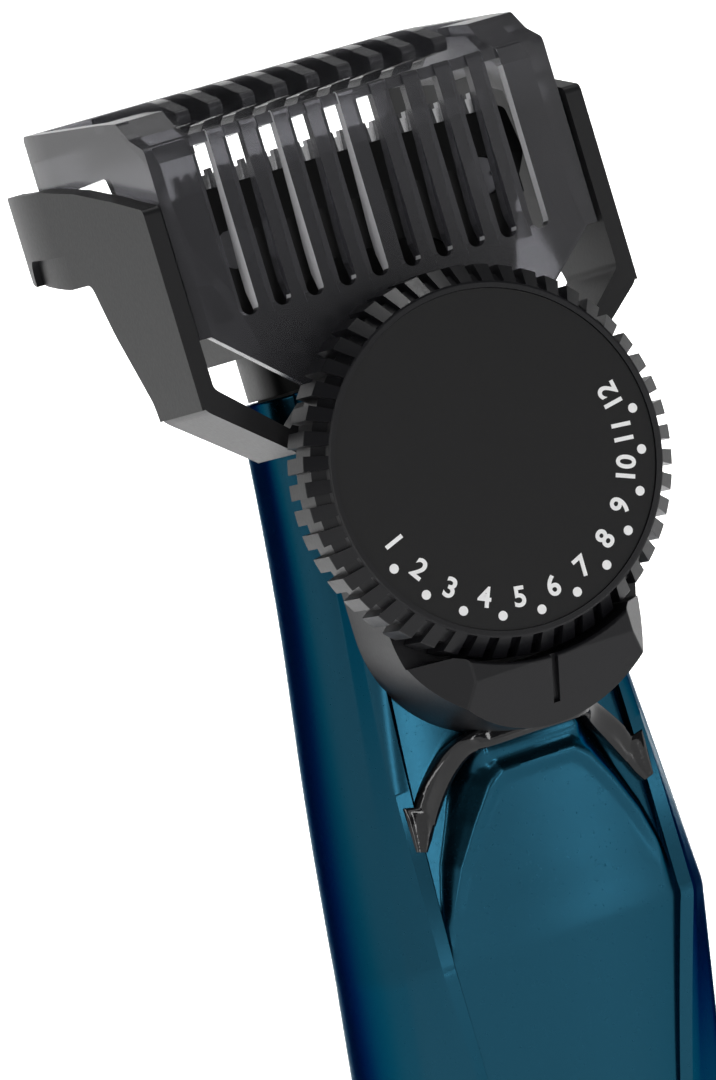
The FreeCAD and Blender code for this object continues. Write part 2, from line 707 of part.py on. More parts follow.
def yoke_arm():
    """Right arm with its elbow and the slanting beam that runs in behind the dial."""
    wall = bowed_wall(YOKE_X, YOKE_WALL, (YOKE_FRONT, YOKE_BACK), (12.5, 40.0))
    wall = wall.common(slab_x(arm_profile(), (15.0, 30.0)))
    grip = slab_x([(52.0, 25.0), (51.5, 31.8, 2.2), (33.5, 30.8, 2.5), (31.6, 25.0)],
                  (15.0, 30.0))
    grip = grip.common(bowed_wall(YOKE_X + 3.0, 3.8, (YOKE_FRONT, YOKE_BACK), (20.0, 40.0)))
    elbow = [(YOKE_X, 14.0), (YOKE_X, 12.6, 2.2), (15.6, 5.9), (15.6, 8.3),
             (YOKE_X - YOKE_WALL, 14.2, 1.2), (YOKE_X - YOKE_WALL, 15.4), (YOKE_X, 15.4)]
    beam = slab_y(elbow, (YOKE_FRONT, 23.0))
    beam = beam.common(slab_x([(YOKE_FRONT, 4.0), (YOKE_FRONT, 16.0), (23.7, 16.0),
                               (23.1, 13.4, 2.0), (21.6, 4.0)], (10.0, 30.0)))
    ribs = [slab_y([(17.6 + n * 2.4, 7.9 + n * 2.1), (18.8 + n * 2.4, 8.9 + n * 2.1),
                    (18.0 + n * 2.4, 10.6 + n * 2.1), (17.0 + n * 2.4, 9.7 + n * 2.1)],
                   (15.0, 15.8)) for n in (0, 1)]
    return fuse([wall.cut(grip), beam] + ribs)


def comb_yoke():
    """Fork that carries the guide comb: two arms, two beams and the bar between them."""
    bar = slab_y([(15.7, 5.95), (15.7, 8.4), (12.8, 10.9, 1.0), (-12.8, 10.9, 1.0),
                  (-15.7, 8.4), (-15.7, 5.95), (-12.9, 8.1, 1.5), (12.9, 8.1, 1.5)],
                 (YOKE_FRONT + 0.05, 11.2))
    ends = slab_y([(15.7, 5.95), (15.7, 8.4), (13.2, 10.5), (11.0, 10.5), (11.0, 8.1),
                   (12.9, 8.1)], (11.2, 13.0))
    return fuse(both_sides(yoke_arm()) + both_sides(ends) + [bar])


# ---- guide comb -------------------------------------------------------------------------------

def comb_bar(x):
    """Upright bar of the comb's front, deeper at its foot, with a round head."""
    back = COMB_FRONT + COMB_PANEL
    side = [(COMB_FRONT, SLOT_FOOT - 2.0), (COMB_FRONT, SLOT_HEAD + 1.2, 0.6),
            (back - 0.2, SLOT_HEAD + 1.2, 0.5), (back, SLOT_HEAD - 2.5), (back + 1.1, 24.5),
            (back + 1.1, SLOT_FOOT + 2.2), (back, SLOT_FOOT - 0.5), (back, SLOT_FOOT - 2.0)]
    return slab_x(side, (x - COMB_BAR / 2, x + COMB_BAR / 2))


def comb_tine(x):
    """Top tine: a fin from the rear bar forward to a squared tip over the blade."""
    side = [(18.4, TINE_UNDER), (17.8, TINE_UNDER + 1.3, 0.6), (24.0, 42.9, 12.0),
            (44.5, 43.7), (44.5, TINE_HEEL), (27.5, TINE_HEEL, 1.0), (24.6, TINE_UNDER, 1.0)]
    return slab_x(side, (x - 0.7, x + 0.7))


def comb_wall():
    """Right side wall: rail at the front, arched rear part that stands over the yoke arm."""
    profile = [(COMB_FRONT, 19.0), (COMB_FRONT, 38.0, 0.8), (14.0, 39.4, 1.5),
               (16.4, 41.4, 1.5), (21.0, 41.9, 8.0), (COMB_BACK, 44.0, 0.8),
               (COMB_BACK, 38.2, 0.5), (34.5, 36.9, 1.5), (24.0, 36.9, 0.8),
               (23.2, 34.9, 0.3), (20.6, 34.2, 0.5), (19.6, 27.0, 3.0), (15.5, 19.0)]
    wall = bowed_wall(COMB_X, COMB_WALL, (COMB_FRONT, COMB_BACK), (18.0, 45.0))
    return wall.common(slab_x(profile, (10.0, 30.0)))


def guide_comb():
    """Clip-on guide comb: slotted front, side walls, rear bar and top tines."""
    panel = slab_y([(-COMB_X, 20.0, 1.2), (-12.6, 12.0), (12.6, 12.0), (COMB_X, 20.0, 1.2),
                    (COMB_X, STRIP_TOP, 0.6), (-COMB_X, STRIP_TOP, 0.6)],
                   (COMB_FRONT, COMB_FRONT + COMB_PANEL))
    half = (COMB_PITCH - COMB_BAR) / 2
    slots = []
    for index in range(COMB_BARS + 1):
        x = (index - COMB_BARS / 2) * COMB_PITCH
        slots.append(slab_y([(x - half, SLOT_FOOT, half - 0.02), (x + half, SLOT_FOOT, half - 0.02),
                             (x + half, SLOT_HEAD), (x - half, SLOT_HEAD)],
                            (COMB_FRONT - 1.0, COMB_FRONT + COMB_PANEL + 1.0)))
    recess = slab_y([(-COMB_X, STRIP_TOP + 1.0), (-COMB_X, SLOT_HEAD - 0.2),
                     (COMB_X, SLOT_HEAD - 0.2), (COMB_X, STRIP_TOP + 1.0)],
                    (COMB_FRONT - 1.0, COMB_FRONT + 0.35))
    centres = [(index - (COMB_BARS - 1) / 2) * COMB_PITCH for index in range(COMB_BARS)]
    inner = COMB_X - COMB_WALL
    rear = slab_x([(43.2, 40.9, 0.6), (45.6, 41.0, 0.6), (45.6, 44.0, 0.8), (42.6, 43.7, 0.6)],
                  (-inner, inner))
    cheek = slab_x([(COMB_FRONT, 36.4), (COMB_FRONT, 38.0), (14.0, 39.4), (16.4, 41.4),
                    (21.0, 41.9), (24.0, 42.1), (24.0, 41.2), (17.4, 40.3), (12.0, 36.4)],
                   (16.6, inner + 0.2))
    return fuse([panel.cut(slots + [recess])] + [comb_bar(x) for x in centres]
                + [comb_tine(x) for x in centres] + both_sides(comb_wall())
                + both_sides(cheek) + [rear])


# ---- cutting head -----------------------------------------------------------------------------

def head_block():
    """Black head: grows out of the neck and widens to carry the blades."""
    foot = Part.Face(whole_wire(NECK, in_grip(NECK_TOP + 0.3)))
    foot = foot.extrude(V(0, 0, HEAD_FLARE - NECK_TOP)).common(
        block((-20.0, 20.0), HEAD_Y, (10.0, 40.0)))
    lower = slab_y([(-12.9, NECK_TOP + 0.3), (12.9, NECK_TOP + 0.3), (15.6, 23.0),
                    (HEAD_X, 27.8), (HEAD_X, HEAD_TOP, 0.8), (-HEAD_X, HEAD_TOP, 0.8),
                    (-HEAD_X, 27.8), (-15.6, 23.0)], HEAD_Y)
    plan = slab_x([(HEAD_Y[0] + 1.3, NECK_TOP), (HEAD_Y[0] + 0.2, 24.0), (HEAD_Y[0] + 0.2, 28.0),
                   (17.3, HEAD_TOP), (30.0, HEAD_TOP, 1.0), (33.6, 28.0, 3.0),
                   (35.6, NECK_TOP)], (-20.0, 20.0))
    corners = slab_z([(-HEAD_X, 15.0), (HEAD_X, 15.0), (HEAD_X, 36.4, 6.0), (-HEAD_X, 36.4, 6.0)],
                     (10.0, 40.0))
    body = lower.common(plan).common(corners)
    body = body.cut(block((-20.0, 20.0), (10.0, 40.0), (10.0, HEAD_FLARE))).fuse(foot)
    spaces = [block((-17.4, 17.4), (18.85, 24.6), (20.0, 40.0)),
              block((-17.95, 17.95), (17.45, 18.9), (23.95, 40.0)),
              rod_y(2.0, (14.0, 17.5), -13.6, 26.6), rod_y(2.0, (14.0, 17.5), 13.6, 26.6),
              block((-8.2, 8.2), (19.4, 32.0), (10.0, 20.5)),
              slab_y([(-9.6, 10.0), (9.6, 10.0), (9.6, TONGUE_TOP + 0.4, 6.2),
                      (-9.6, TONGUE_TOP + 0.4, 6.2)], (14.0, 16.6))]
    return on_head(body.cut(spaces))


def tooth_row(half, y, foot, tip, tooth):
    """Cutting teeth along the top of a blade plate."""
    count = int(half / BLADE_TOOTH)
    points = [(-tooth / 2, foot), (tooth / 2, foot), (tooth * 0.3, tip), (-tooth * 0.3, tip)]
    teeth = []
    for index in range(-count, count + 1):
        x = index * BLADE_TOOTH
        teeth.append(slab_y([(x + u, v) for u, v in points], y))
    return teeth


def fixed_blade():
    """Front blade plate with its row of teeth."""
    plate = block((-17.9, 17.9), (17.5, 18.8), (24.0, 32.6))
    row = tooth_row(17.6, (17.7, 18.8), 32.5, BLADE_TOP, 0.72)
    holes = [rod_y(1.1, (16.0, 20.0), x, 26.6) for x in (-13.6, 13.6)]
    return fuse([plate] + row).cut(holes)


def moving_blade():
    """Driven blade behind the front one."""
    plate = block((-15.8, 15.8), (18.9, 19.8), (27.6, 32.4))
    row = tooth_row(15.6, (18.9, 19.8), 32.3, BLADE_TOP - 0.5, 0.62)
    return fuse([plate] + row).cut([rod_y(0.9, (18.0, 21.0), x, 29.2) for x in (-6.0, 6.0)])


def blade_carrier():
    """Plastic slide that joins the moving blade to the drive pin."""
    slide = block((-10.0, 10.0), (19.85, 22.6), (25.0, 31.0))
    stem = block((-4.4, 4.4), (20.6, 22.6), (5.8, 25.2))
    fork = block((-4.4, 4.4), (20.6, 30.4), (5.8, 8.0))
    slot = block((-FORK_SLOT / 2, FORK_SLOT / 2), (24.4, 31.0), (5.0, 9.0))
    pegs = [rod_y(0.85, (19.0, 20.0), x, 29.2) for x in (-6.0, 6.0)]
    return fuse([slide, stem, fork] + pegs).cut(slot)


def blade_spring():
    """Flat spring behind the slide that presses the blades together."""
    back = block((-13.0, 13.0), (23.6, 24.0), (25.5, 29.5))
    arms = [block((x, x + 1.6), (22.7, 23.6), (26.0, 29.0)) for x in (-8.0, 6.4)]
    feet = [block((x, x + 2.0), (24.0, 24.6), (26.0, 29.0)) for x in (-13.0, 11.0)]
    return fuse([back] + arms + feet)


def blade_screws():
    """Two equal screws through the front blade into the head."""
    screws = []
    for x in (-13.6, 13.6):
        screw = rod_y(1.9, (16.5, 17.45), x, 26.6).fuse(rod_y(1.0, (17.45, 18.8), x, 26.6))
        cross = [block((x - 1.1, x + 1.1), (16.0, 16.9), (26.4, 26.8)),
                 block((x - 0.2, x + 0.2), (16.0, 16.9), (25.5, 27.7))]
        screws.append(screw.cut(cross))
    return Part.makeCompound(screws)


# ---- drive ------------------------------------------------------------------------------------

def motor_can():
    """Round motor in the neck."""
    can = rod_z(MOTOR_R, MOTOR_Z, 0.0, MOTOR_Y)
    nose = rod_z(3.0, (MOTOR_Z[1], MOTOR_Z[1] + 1.2), 0.0, MOTOR_Y)
    bore = rod_z(0.8 + RUNNING, (-12.0, 2.0), 0.0, MOTOR_Y)
    return can.fuse(nose).cut(bore)


def motor_shaft():
    """Motor shaft."""
    return rod_z(0.8, (-11.5, 4.2), 0.0, MOTOR_Y)


def eccentric():
    """Disc on the shaft with the off-centre drive pin."""
    disc = rod_z(4.0, (1.2, 4.4), 0.0, MOTOR_Y).cut(rod_z(0.8, (0.0, 4.2), 0.0, MOTOR_Y))
    return disc.fuse(rod_z(DRIVE_PIN_R, (4.4, 8.8), 0.0, MOTOR_Y + ECCENTRIC))


def motor_mount():
    """Collar that holds the motor in the neck."""
    plate = slab_z([(-6.6, 18.9), (6.6, 18.9), (8.8, 22.0, 3.0), (8.8, 35.2, 6.0),
                    (-8.8, 35.2, 6.0), (-8.8, 22.0, 3.0)], (-4.0, -1.2))
    return plate.cut(rod_z(MOTOR_R, (-6.0, 2.0), 0.0, MOTOR_Y))


def drive_seal():
    """Soft collar where the drive leaves the motor space."""
    plate = slab_z([(-6.6, 19.0), (6.6, 19.0), (8.0, 21.4, 2.0), (8.0, 32.6, 6.5),
                    (-8.0, 32.6, 6.5), (-8.0, 21.4, 2.0)], (9.2, 10.6))
    return plate.cut(block((-5.6, 5.6), (20.0, 25.0), (8.0, 12.0)))


def neck_gasket():
    """Thin seal between the rear shell and the head block."""
    plate = slab_z([(-11.0, 17.6, 2.0), (11.0, 17.6, 2.0), (11.0, 34.6, 6.0), (-11.0, 34.6, 6.0)],
                   (NECK_TOP, NECK_TOP + 0.3))
    return plate.cut(block((-9.0, 9.0), (19.0, 32.4), (NECK_TOP - 1.0, NECK_TOP + 1.0)))


# ---- write every node -------------------------------------------------------------------------

STANDING_NODES = (front_housing, rear_housing, chassis, trim_band, base_cap, base_screw,
                  housing_screws, socket_body, socket_contact, battery_cell, battery_tabs,
                  circuit_board, tact_switch, power_button, button_seal, led_light_pipe,
                  head_block)
HEAD_NODES = (dial_knob, dial_face_disc, dial_spindle, drive_pinion, dial_screw, detent_spring,
              detent_ring, index_cradle, guide_rails, rack_slider, comb_yoke, guide_comb,
              fixed_blade, moving_blade, blade_carrier, blade_spring, blade_screws, motor_can,
              motor_shaft, eccentric, motor_mount, drive_seal, neck_gasket)


def main():
    """Export one STEP file for each node."""
    os.makedirs("parts", exist_ok=True)
    for maker in STANDING_NODES + HEAD_NODES:
        shape = maker()
        if maker in HEAD_NODES:
            shape = on_head(shape)
        solids = len(shape.Solids)
        print(f"{maker.__name__:18s} {solids} solid(s) {shape.Volume:10.1f} mm3 {shape.isValid()}")
        shape.exportStep(f"parts/{maker.__name__}.step")


main()
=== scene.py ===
import json
import math

import bmesh
import bpy
import numpy as np
from mathutils import Matrix, Vector


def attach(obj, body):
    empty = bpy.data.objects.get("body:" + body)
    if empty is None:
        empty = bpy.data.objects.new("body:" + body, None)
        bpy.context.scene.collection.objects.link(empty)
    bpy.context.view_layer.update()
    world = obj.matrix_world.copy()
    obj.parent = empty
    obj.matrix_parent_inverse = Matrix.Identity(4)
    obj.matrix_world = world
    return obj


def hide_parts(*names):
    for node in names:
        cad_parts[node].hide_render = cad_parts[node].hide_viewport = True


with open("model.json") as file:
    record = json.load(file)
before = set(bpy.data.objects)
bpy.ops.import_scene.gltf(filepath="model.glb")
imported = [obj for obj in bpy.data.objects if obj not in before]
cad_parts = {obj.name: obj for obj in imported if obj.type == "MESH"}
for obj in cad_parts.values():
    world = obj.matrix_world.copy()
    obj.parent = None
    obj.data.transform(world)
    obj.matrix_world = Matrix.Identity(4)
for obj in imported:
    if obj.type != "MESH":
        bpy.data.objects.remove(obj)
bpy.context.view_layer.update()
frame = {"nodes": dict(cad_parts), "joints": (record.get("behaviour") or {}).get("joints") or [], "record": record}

MM = 0.001

# ---- frames -----------------------------------------------------------------------------------
# The head's own frame: origin at the centre of the dial's face, Y along the dial's axis into the
# trimmer, Z up the comb's travel. Both directions come from the model's joints.
JOINTS = {joint["name"]: joint for joint in frame["joints"]}
DIAL_AXIS = Vector(JOINTS["dial_turn"]["axis"])
COMB_AXIS = Vector(JOINTS["comb_slide"]["axis"])
DIAL_CENTRE = Vector(JOINTS["dial_turn"]["pos_m"])
HEAD = Matrix.Translation(DIAL_CENTRE) @ Matrix(
    ((1.0, DIAL_AXIS.x, COMB_AXIS.x), (0.0, DIAL_AXIS.y, COMB_AXIS.y),
     (0.0, DIAL_AXIS.z, COMB_AXIS.z))).to_4x4()


# ---- camera, light and floor ------------------------------------------------------------------
VIEW_AZIMUTH = -20.26               # of the camera round the head, degrees
VIEW_ELEVATION = 2.01
VIEW_ROLL = -16.74
VIEW_DISTANCE = 600 * MM
VIEW_SHIFT = (13.349 * MM, 7.779 * MM)
LENS = 209.0


def camera_turn(azimuth, elevation, roll):
    """Right, up and back directions of the camera in the head's frame."""
    az, el, ro = (math.radians(a) for a in (azimuth, elevation, roll))
    back = Vector((math.sin(az) * math.cos(el), -math.cos(az) * math.cos(el), math.sin(el)))
    right = Vector((0.0, 0.0, 1.0)).cross(back).normalized()
    up = back.cross(right)
    return (math.cos(ro) * right + math.sin(ro) * up,
            -math.sin(ro) * right + math.cos(ro) * up, back)


def add_camera():
    """Camera at the viewing angle of the studio picture."""
    right, up, back = camera_turn(VIEW_AZIMUTH, VIEW_ELEVATION, VIEW_ROLL)
    place = back * VIEW_DISTANCE - right * VIEW_SHIFT[0] - up * VIEW_SHIFT[1]
    turn = Matrix((right, up, back)).transposed().to_4x4()
    data = bpy.data.cameras.new("camera")
    data.sensor_fit = "VERTICAL"
    data.sensor_height = 36.0
    data.lens = LENS
    data.clip_start = 0.01
    data.clip_end = 20.0
    camera = bpy.data.objects.new("camera", data)
    bpy.context.collection.objects.link(camera)
    camera.matrix_world = HEAD @ Matrix.Translation(place) @ turn
    bpy.context.scene.camera = camera


def add_light(name, place, aim, size, power):
    """Soft area light aimed at a point."""
    data = bpy.data.lights.new(name, "AREA")
    data.shape = "RECTANGLE"
    data.size, data.size_y = size
    data.energy = power
    light = bpy.data.objects.new(name, data)
    bpy.context.collection.objects.link(light)
    light.location = place
    light.rotation_euler = (Vector(aim) - Vector(place)).to_track_quat("-Z", "Y").to_euler()


def add_spot(name, place, aim, cone, power):
    """Lamp aimed at a point, that fades smoothly from the middle of its cone."""
    data = bpy.data.lights.new(name, "SPOT")
    data.spot_size = math.radians(cone)
    data.spot_blend = 1.0
    data.shadow_soft_size = 0.08
    data.energy = power
    lamp = bpy.data.objects.new(name, data)
    bpy.context.collection.objects.link(lamp)
    lamp.location = place
    lamp.rotation_euler = (Vector(aim) - Vector(place)).to_track_quat("-Z", "Y").to_euler()


def add_lights():
    """Soft boxes round the trimmer, and lamps that even out the pale floor."""
    head = (0.0, 0.0, 0.14)
    grip = (0.0, 0.0, 0.1)
    add_light("key", (-0.35, -0.75, 0.85), head, (0.35, 0.5), 0.7)
    add_light("front_right", (0.56, -0.88, 0.42), grip, (0.12, 0.5), 0.8)
    add_light("front_left", (-0.14, -1.0, 0.45), grip, (0.12, 0.5), 1.3)
    add_light("edge_left", (-0.78, -0.62, 0.4), head, (0.12, 0.7), 1.3)
    add_light("edge_right", (0.8, 0.25, 0.4), head, (0.15, 0.7), 0.5)
    add_light("top", (0.05, 0.35, 0.9), head, (0.5, 0.4), 0.8)
    for name, x, y, cone, power in (("low", 0.1, -0.17, 9.0, 12.0),
                                    ("high", 0.23, -0.4, 12.0, 150.0)):
        add_spot(f"stripe_{name}", (x + 0.45, y - 0.5, 0.9), (x, y, 0.0), cone, power)
    for name, x, y in (("near", 0.06, 0.19), ("middle", 0.14, 0.38), ("far", 0.235, 0.58)):
        add_spot(f"floor_{name}", (x + 0.1, y + 0.15, 1.0), (x, y, 0.0), 30.0, 40.0)


# ---- materials --------------------------------------------------------------------------------
GRAIN_DEPTH = 0.00004               # metres


def new_material(name, **values):
    """Principled material; returns it with its shader node."""
    material = bpy.data.materials.new(name)
    material.use_nodes = True
    shader = material.node_tree.nodes["Principled BSDF"]
    for key, value in values.items():
        shader.inputs[key.replace("_", " ")].default_value = value
    return material, shader


def grain(material, shader, scale, strength, rough):
    """Fine surface grain: noise into bump, and into roughness between two values."""
    tree = material.node_tree
    place = tree.nodes.new("ShaderNodeTexCoord")
    noise = tree.nodes.new("ShaderNodeTexNoise")
    noise.inputs["Scale"].default_value = scale
    noise.inputs["Detail"].default_value = 4.0
    bump = tree.nodes.new("ShaderNodeBump")
    bump.inputs["Strength"].default_value = strength
    bump.inputs["Distance"].default_value = GRAIN_DEPTH
    tree.links.new(place.outputs["Object"], noise.inputs["Vector"])
    tree.links.new(noise.outputs["Fac"], bump.inputs["Height"])
    tree.links.new(bump.outputs["Normal"], shader.inputs["Normal"])
    ramp = tree.nodes.new("ShaderNodeMapRange")
    ramp.inputs["To Min"].default_value = rough[0]
    ramp.inputs["To Max"].default_value = rough[1]
    tree.links.new(noise.outputs["Fac"], ramp.inputs["Value"])
    tree.links.new(ramp.outputs["Result"], shader.inputs["Roughness"])


def plain(name, colour, rough, scale=2500.0, strength=0.25, **values):
    """Moulded or metal surface with a fine grain."""
    material, shader = new_material(name, Base_Color=(*colour, 1.0), **values)
    grain(material, shader, scale, strength, rough)
    return material


MATERIALS = {
    "body_blue": plain("body_blue", (0.014, 0.072, 0.115), (0.22, 0.3), strength=0.05, Metallic=1.0,
                       Specular_Tint=(0.06, 0.16, 0.22, 1.0)),
    "gloss_black": plain("gloss_black", (0.006, 0.006, 0.007), (0.04, 0.08)),
    "black_plastic": plain("black_plastic", (0.006, 0.006, 0.0065), (0.4, 0.5),
                           Specular_IOR_Level=0.3),
    "dial_black": plain("dial_black", (0.007, 0.007, 0.0085), (0.3, 0.4),
                        Specular_IOR_Level=0.3),
    "dial_face": plain("dial_face", (0.007, 0.007, 0.0075), (0.5, 0.6),
                       Specular_IOR_Level=0.3),
    "yoke_black": plain("yoke_black", (0.012, 0.012, 0.013), (0.35, 0.45),
                        Specular_IOR_Level=0.25),
    "white_plastic": plain("white_plastic", (0.7, 0.7, 0.66), (0.4, 0.5)),
    "blade_steel": plain("blade_steel", (0.35, 0.35, 0.36), (0.2, 0.3), Metallic=1.0),
    "spring_steel": plain("spring_steel", (0.4, 0.4, 0.42), (0.2, 0.3), Metallic=1.0),
    "screw_steel": plain("screw_steel", (0.35, 0.35, 0.37), (0.25, 0.35), Metallic=1.0),
    "motor_steel": plain("motor_steel", (0.5, 0.5, 0.5), (0.25, 0.35), Metallic=1.0),
    "contact_nickel": plain("contact_nickel", (0.7, 0.68, 0.62), (0.2, 0.3), Metallic=1.0),
    "cell_can": plain("cell_can", (0.05, 0.3, 0.2), (0.3, 0.35)),
    "contact_brass": plain("contact_brass", (0.8, 0.6, 0.25), (0.2, 0.3), Metallic=1.0),
    "gear_brass": plain("gear_brass", (0.75, 0.55, 0.25), (0.25, 0.35), Metallic=1.0),
    "board_green": plain("board_green", (0.01, 0.14, 0.05), (0.3, 0.4)),
    "switch_black": plain("switch_black", (0.02, 0.02, 0.02), (0.4, 0.5)),
    "soft_rubber": plain("soft_rubber", (0.02, 0.02, 0.02), (0.6, 0.7)),
    "smoke_clear": plain("smoke_clear", (0.12, 0.12, 0.132), (0.14, 0.22), strength=0.03,
                         Transmission_Weight=0.72, IOR=1.45),
    # Frosted grain and roughness for the comb's slot walls; its pale base colour is a painted highlight, not the
    # smoky plastic's own tone.
    "frost_and_highlight": plain("frost_and_highlight", (0.78, 0.78, 0.8), (0.45, 0.6), scale=3500.0,
                         strength=0.35, Transmission_Weight=0.08, IOR=1.45),
    "clear_plastic": plain("clear_plastic", (0.9, 0.9, 0.9), (0.05, 0.1), Transmission_Weight=0.9),
    "print_white": plain("print_white", (0.95, 0.95, 0.95), (0.4, 0.5)),
    "floor": plain("floor", (0.93, 0.93, 0.93), (0.5, 0.6), scale=40.0, strength=0.02,
                   Emission_Color=(1.0, 1.0, 1.0, 1.0), Emission_Strength=0.55),
}


FLOOR_SWEEP = ((3.0, 0.0), (3.3, 0.05), (3.55, 0.18), (3.75, 0.42), (3.85, 0.8))


def add_floor():
    """Large pale floor, turned up at its far rim like a studio sweep. Radius and height in m."""
    sides = 96
    vertices = [(radius * math.cos(2 * math.pi * side / sides),
                 radius * math.sin(2 * math.pi * side / sides), height)
                for radius, height in FLOOR_SWEEP for side in range(sides)]
    wall = [face[::-1] for face in grid_faces(len(FLOOR_SWEEP), sides, closed=True)]
    faces = [tuple(range(sides))] + wall
    mesh = bpy.data.meshes.new("floor")
    mesh.from_pydata(vertices, [], faces)
    mesh.polygons.foreach_set("use_smooth", [False] + [True] * len(wall))
    floor = bpy.data.objects.new("floor", mesh)
    bpy.context.collection.objects.link(floor)
    mesh.materials.append(MATERIALS["floor"])


def paint_nodes():
    """Give every CAD node the material of its record slot."""
    slots = {part["node"]: part["material_slot"] for part in frame["record"]["subparts"]}
    for node, piece in frame["nodes"].items():
        piece.data.materials.clear()
        piece.data.materials.append(MATERIALS[slots[node]])


def frost_slot_walls():
    """Frosted walls of the slots between the comb's front bars, in a pale colour that is a painted highlight for
    the light they catch.
    """
    comb = frame["nodes"]["guide_comb"]
    comb.data.materials.append(MATERIALS["frost_and_highlight"])
    into_head = HEAD.inverted() @ comb.matrix_world
    for face in comb.data.polygons:
        x, y, z = (into_head @ face.center) / MM
        sideways = abs((into_head.to_3x3() @ face.normal).x) > 0.9
        # Sideways slot walls get the frosted material, whose pale colour is a painted highlight.
        if sideways and abs(x) < 17.5 and y < 14.0 and 20.0 < z < 37.0:
            face.material_index = 1


def add_world():
    """Dim, even surroundings, so that dark plastic stays dark."""
    world = bpy.data.worlds.new("world")
    bpy.context.scene.world = world
    world.use_nodes = True
    world.node_tree.nodes["Background"].inputs["Color"].default_value = (1.0, 1.0, 1.0, 1.0)
    world.node_tree.nodes["Background"].inputs["Strength"].default_value = 0.08


# ---- mesh helpers -----------------------------------------------------------------------------
SMOOTH_ANGLE = 32.0                 # sharper edges than this are drawn crisp, degrees
ROUNDED_ANGLE = 35.0                # sharper edges than this are rounded, degrees


def smoothstep(low, high, value):
    """0 below low, 1 above high, smooth between."""
    share = np.clip((value - low) / (high - low), 0.0, 1.0)
    return share * share * (3.0 - 2.0 * share)


def spline_through(knots, values, at, start=None, end=None):
    """Cubic spline through values at knots, read at the places at; ends free or with a slope."""
    knots, values, at = (np.asarray(v, float) for v in (knots, values, at))
    count = len(knots)
    gap = np.diff(knots)
    shape = (-1,) + (1,) * (values.ndim - 1)
    slope = np.diff(values, axis=0) / gap.reshape(shape)
    system = np.zeros((count, count))
    right = np.zeros_like(values)
    for i in range(1, count - 1):
        system[i, i - 1:i + 2] = gap[i - 1], 2 * (gap[i - 1] + gap[i]), gap[i]
        right[i] = 6 * (slope[i] - slope[i - 1])
    system[0, 0] = system[-1, -1] = 1.0
    if start is not None:
        system[0, :2] = 2 * gap[0], gap[0]
        right[0] = 6 * (slope[0] - np.asarray(start))
    if end is not None:
        system[-1, -2:] = gap[-1], 2 * gap[-1]
        right[-1] = 6 * (np.asarray(end) - slope[-1])
    bend = np.linalg.solve(system, right.reshape(count, -1)).reshape(values.shape)
    i = np.clip(np.searchsorted(knots, at) - 1, 0, count - 2)
    step = gap[i].reshape(shape)
    low = ((knots[i + 1] - at)).reshape(shape) / step
    high = ((at - knots[i])).reshape(shape) / step
    return (low * values[i] + high * values[i + 1]
            + ((low ** 3 - low) * bend[i] + (high ** 3 - high) * bend[i + 1]) * step ** 2 / 6)


def make_piece(name, vertices, faces, material, body, in_head=False):
    """Mesh piece in millimetres, of one material, that rides on a body."""
    mesh = bpy.data.meshes.new(name)
    scaled = [Vector(v) * MM for v in vertices]
    mesh.from_pydata([HEAD @ v for v in scaled] if in_head else scaled, [], faces)
    tidy = bmesh.new()
    tidy.from_mesh(mesh)
    bmesh.ops.remove_doubles(tidy, verts=tidy.verts, dist=1e-7)
    bmesh.ops.recalc_face_normals(tidy, faces=tidy.faces)
    tidy.to_mesh(mesh)
    tidy.free()
    mesh.materials.append(MATERIALS[material])
    mesh.polygons.foreach_set("use_smooth", [True] * len(mesh.polygons))
    mesh.set_sharp_from_angle(angle=math.radians(SMOOTH_ANGLE))
    piece = bpy.data.objects.new(name, mesh)
    bpy.context.collection.objects.link(piece)
    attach(piece, body)
    return piece


def grid_faces(rows, columns, closed=False):
    """Quads of a grid, row by row."""
    faces = []
    width = columns if closed else columns - 1
    for r in range(rows - 1):
        for c in range(width):
            d = (c + 1) % columns
            faces.append((r * columns + c, r * columns + d, (r + 1) * columns + d,
                          (r + 1) * columns + c))
    return faces


def thicken(piece, thickness):
    """Give a sheet its wall, inward from the drawn surface."""
    wall = piece.modifiers.new("wall", "SOLIDIFY")
    wall.thickness = thickness * MM
    wall.offset = -1.0
    wall.use_even_offset = False


def soften_edges(piece, width):
    """Round the sharp edges of a machined or moulded piece."""
    merge = piece.modifiers.new("merge", "DECIMATE")
    merge.decimate_type = "DISSOLVE"
    merge.angle_limit = math.radians(0.6)
    bevel = piece.modifiers.new("edge", "BEVEL")
    bevel.width = width * MM
    bevel.segments = 2
    bevel.limit_method = "ANGLE"
    bevel.angle_limit = math.radians(ROUNDED_ANGLE)
    bevel.use_clamp_overlap = True
    bevel.harden_normals = False


# ---- handle shells ----------------------------------------------------------------------------
# The handle's outer shape. Sections: half width, half depth, centre y and how far in from the side
# the seam runs, in mm.
# The lower ones lie level on the standing handle, the upper ones across the head's frame.
GRIP_SECTIONS = ((9.2, (15.8, 13.0, 0.0, 8.2)), (36.0, (16.5, 13.4, 0.6, 7.9)),
                 (63.0, (17.3, 13.9, 1.0, 7.2)))
HEAD_SECTIONS = ((-47.0, (17.8, 14.5, 31.4, 4.5)), (-27.0, (16.0, 13.4, 29.3, 3.5)),
                 (-10.0, (14.1, 12.2, 27.3, 3.0)), (11.4, (12.4, 10.8, 25.7, 2.9)))
HIP_Z = HEAD_SECTIONS[0][0]
HIP_HEIGHT = 85.6                   # of the hip's centre over the base
SEAM_DROP = 1.8
CORNER_IN = 2.4
CORNER_DROP = 4.7
SEAM_GAP = 0.35
CREASE = 0.22                       # half the rounded width of the crease round the hip


def cover_section(section, columns):
    """Points (x, y) across the front cover."""
    a, b, yc, seam = section
    half = a - seam - SEAM_GAP
    bow = ((a - seam) ** 2 + SEAM_DROP ** 2) / (2 * SEAM_DROP)
    x = np.linspace(-half, half, columns)
    y = yc - b + bow - np.sqrt(bow ** 2 - x ** 2)
    return np.stack([x, y], 1)


